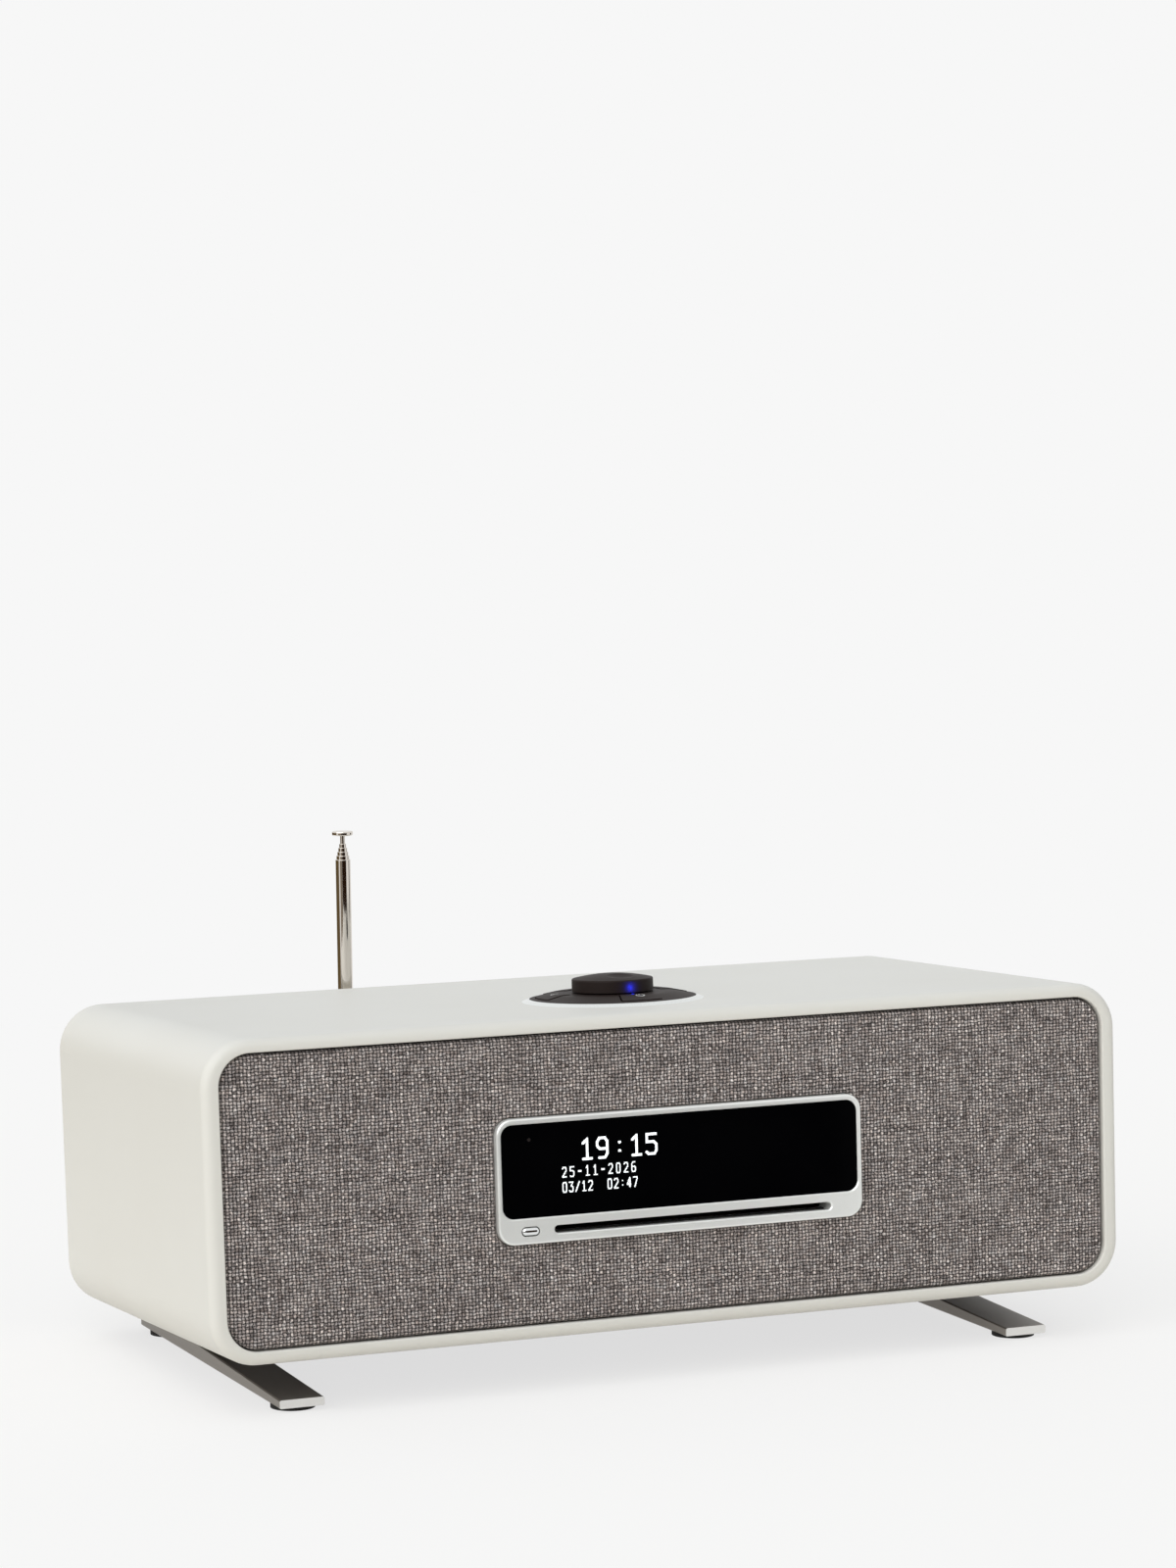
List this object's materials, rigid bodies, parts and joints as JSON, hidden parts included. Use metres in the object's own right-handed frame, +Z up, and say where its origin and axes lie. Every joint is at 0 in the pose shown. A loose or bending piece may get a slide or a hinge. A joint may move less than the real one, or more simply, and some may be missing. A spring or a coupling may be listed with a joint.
{
  "type": "tabletop radio",
  "caption": "Wide tabletop radio leaning back on runner feet, with woven grille, display, disc slot, round top dial with sector buttons and a telescopic aerial.",
  "frame": {"origin": "on the table, under the middle of the whole radio's box with its aerial pushed in", "axes": "+X to the radio's right seen from the front, +Y from front to back, +Z up"},
  "size_m": [0.42, 0.2316, 0.2176],
  "materials": {
    "cabinet_lacquer": "satin warm white lacquer",
    "board_wood": "bare fibreboard",
    "rear_paint": "matte black paint",
    "grille_fabric": "coarse plain weave, grey and brown mixture",
    "bezel_silver": "satin silver",
    "window_black": "gloss black",
    "board_green": "solder mask",
    "felt_black": "black felt",
    "sheet_steel": "zinc plated",
    "roller_rubber": "matte",
    "mechanism_plastic": "moulded",
    "rod_steel": "ground",
    "basket_steel": "black paint",
    "magnet_iron": "zinc and ferrite",
    "cone_paper": "pulp",
    "surround_rubber": "matte",
    "screw_black": "black oxide",
    "connector_plastic": "fine texture",
    "jack_brass": "gold plated",
    "sink_aluminium": "bare",
    "control_black": "satin brown black",
    "lamp_blue": "clear blue",
    "foot_aluminium": "satin",
    "pad_rubber": "matte",
    "aerial_chrome": "bright nickel"
  },
  "bodies": {
    "cabinet": {"cabinet_shell": "cabinet_lacquer", "grille_cloth": "grille_fabric", "grille_frame": "board_wood", "front_baffle": "board_wood", "display_bezel": "bezel_silver", "display_window": "window_black", "display_module": "board_green", "slot_felt": "felt_black", "cd_chassis": "sheet_steel", "cd_standoffs": "mechanism_plastic", "cd_motor": "sheet_steel", "sled_rods": "rod_steel", "left_speaker_basket": "basket_steel", "left_speaker_magnet": "magnet_iron", "left_speaker_surround": "surround_rubber", "right_speaker_basket": "basket_steel", "right_speaker_magnet": "magnet_iron", "right_speaker_surround": "surround_rubber", "rear_frame": "board_wood", "rear_panel": "rear_paint", "rear_screws": "screw_black", "connector_plate": "connector_plastic", "line_jacks": "jack_brass", "headphone_jack": "connector_plastic", "power_inlet": "connector_plastic", "main_board": "board_green", "heat_sink": "sink_aluminium", "control_ring": "bezel_silver", "control_plate": "control_black", "control_board": "board_green", "encoder_body": "mechanism_plastic", "power_lamp": "lamp_blue", "left_foot": "foot_aluminium", "right_foot": "foot_aluminium", "foot_pads": "pad_rubber", "foot_screws": "rod_steel", "aerial_socket": "jack_brass", "aerial_collar": "aerial_chrome"},
    "plunger": {"encoder_plunger": "mechanism_plastic"},
    "dial": {"dial_knob": "control_black", "encoder_shaft": "rod_steel"},
    "eject": {"eject_button": "bezel_silver"},
    "roller": {"cd_roller": "roller_rubber"},
    "turntable": {"cd_turntable": "mechanism_plastic"},
    "sled": {"laser_sled": "mechanism_plastic"},
    "left_cone": {"left_speaker_cone": "cone_paper"},
    "right_cone": {"right_speaker_cone": "cone_paper"},
    "swivel": {"aerial_swivel": "aerial_chrome", "aerial_pin": "rod_steel"},
    "aerial": {"aerial_tube": "aerial_chrome"},
    "power_button": {"power_button": "control_black"},
    "source_button": {"source_button": "control_black"},
    "preset_button": {"preset_button": "control_black"},
    "menu_button": {"menu_button": "control_black"},
    "back_button": {"back_button": "control_black"},
    "aerial_section_2": {"aerial_section_2": "aerial_chrome"},
    "aerial_section_3": {"aerial_section_3": "aerial_chrome"},
    "aerial_section_4": {"aerial_section_4": "aerial_chrome"},
    "aerial_section_5": {"aerial_section_5": "aerial_chrome"},
    "aerial_rod": {"aerial_rod": "aerial_chrome"}
  },
  "joints": [
    {"name": "dial_press", "type": "slide", "parent": "cabinet", "child": "plunger", "axis": [0, -0.0475, -0.9989], "range_m": [0, 0.0005], "stiffness_N_per_m": 2000, "springref_m": -0.0005},
    {"name": "dial_turn", "type": "hinge", "parent": "plunger", "child": "dial", "pos_m": [0, -0.03998, 0.16296], "axis": [0, 0.0475, 0.9989], "continuous": true},
    {"name": "eject_press", "type": "slide", "parent": "cabinet", "child": "eject", "axis": [0, 0.9989, -0.0475], "range_m": [0, 0.0008], "stiffness_N_per_m": 800, "springref_m": -0.0006},
    {"name": "power_button_press", "type": "slide", "parent": "cabinet", "child": "power_button", "axis": [0, -0.0475, -0.9989], "range_m": [0, 0.0006], "stiffness_N_per_m": 800, "springref_m": -0.0006},
    {"name": "source_button_press", "type": "slide", "parent": "cabinet", "child": "source_button", "axis": [0, -0.0475, -0.9989], "range_m": [0, 0.0006], "stiffness_N_per_m": 800, "springref_m": -0.0006},
    {"name": "preset_button_press", "type": "slide", "parent": "cabinet", "child": "preset_button", "axis": [0, -0.0475, -0.9989], "range_m": [0, 0.0006], "stiffness_N_per_m": 800, "springref_m": -0.0006},
    {"name": "menu_button_press", "type": "slide", "parent": "cabinet", "child": "menu_button", "axis": [0, -0.0475, -0.9989], "range_m": [0, 0.0006], "stiffness_N_per_m": 800, "springref_m": -0.0006},
    {"name": "back_button_press", "type": "slide", "parent": "cabinet", "child": "back_button", "axis": [0, -0.0475, -0.9989], "range_m": [0, 0.0006], "stiffness_N_per_m": 800, "springref_m": -0.0006},
    {"name": "roller_spin", "type": "hinge", "parent": "cabinet", "child": "roller", "pos_m": [0.005, -0.08175, 0.06343], "axis": [1, 0, 0], "continuous": true},
    {"name": "turntable_spin", "type": "hinge", "parent": "cabinet", "child": "turntable", "pos_m": [0.005, -0.01477, 0.06135], "axis": [0, 0.0475, 0.9989], "continuous": true},
    {"name": "sled_slide", "type": "slide", "parent": "cabinet", "child": "sled", "axis": [1, 0, 0], "range_m": [0, 0.032]},
    {"name": "left_cone_move", "type": "slide", "parent": "cabinet", "child": "left_cone", "axis": [0, -0.9989, 0.0475], "range_m": [-0.002, 0.002], "stiffness_N_per_m": 1500, "deforming": ["left_speaker_surround"]},
    {"name": "right_cone_move", "type": "slide", "parent": "cabinet", "child": "right_cone", "axis": [0, -0.9989, 0.0475], "range_m": [-0.002, 0.002], "stiffness_N_per_m": 1500, "deforming": ["right_speaker_surround"]},
    {"name": "aerial_turn", "type": "hinge", "parent": "cabinet", "child": "swivel", "pos_m": [-0.0687, 0.10209, 0.0558], "axis": [0, 0.9989, -0.0475], "range_deg": [-90, 90]},
    {"name": "aerial_fold", "type": "hinge", "parent": "swivel", "child": "aerial", "pos_m": [-0.0687, 0.11108, 0.05537], "axis": [-1, 0, 0], "range_deg": [0, 90]},
    {"name": "aerial_section_2_pull", "type": "slide", "parent": "aerial", "child": "aerial_section_2", "axis": [0, 0, 1], "range_m": [0, 0.118]},
    {"name": "aerial_section_3_pull", "type": "slide", "parent": "aerial_section_2", "child": "aerial_section_3", "axis": [0, 0, 1], "range_m": [0, 0.118]},
    {"name": "aerial_section_4_pull", "type": "slide", "parent": "aerial_section_3", "child": "aerial_section_4", "axis": [0, 0, 1], "range_m": [0, 0.118]},
    {"name": "aerial_section_5_pull", "type": "slide", "parent": "aerial_section_4", "child": "aerial_section_5", "axis": [0, 0, 1], "range_m": [0, 0.118]},
    {"name": "aerial_rod_pull", "type": "slide", "parent": "aerial_section_5", "child": "aerial_rod", "axis": [0, 0, 1], "range_m": [0, 0.118]}
  ]
}
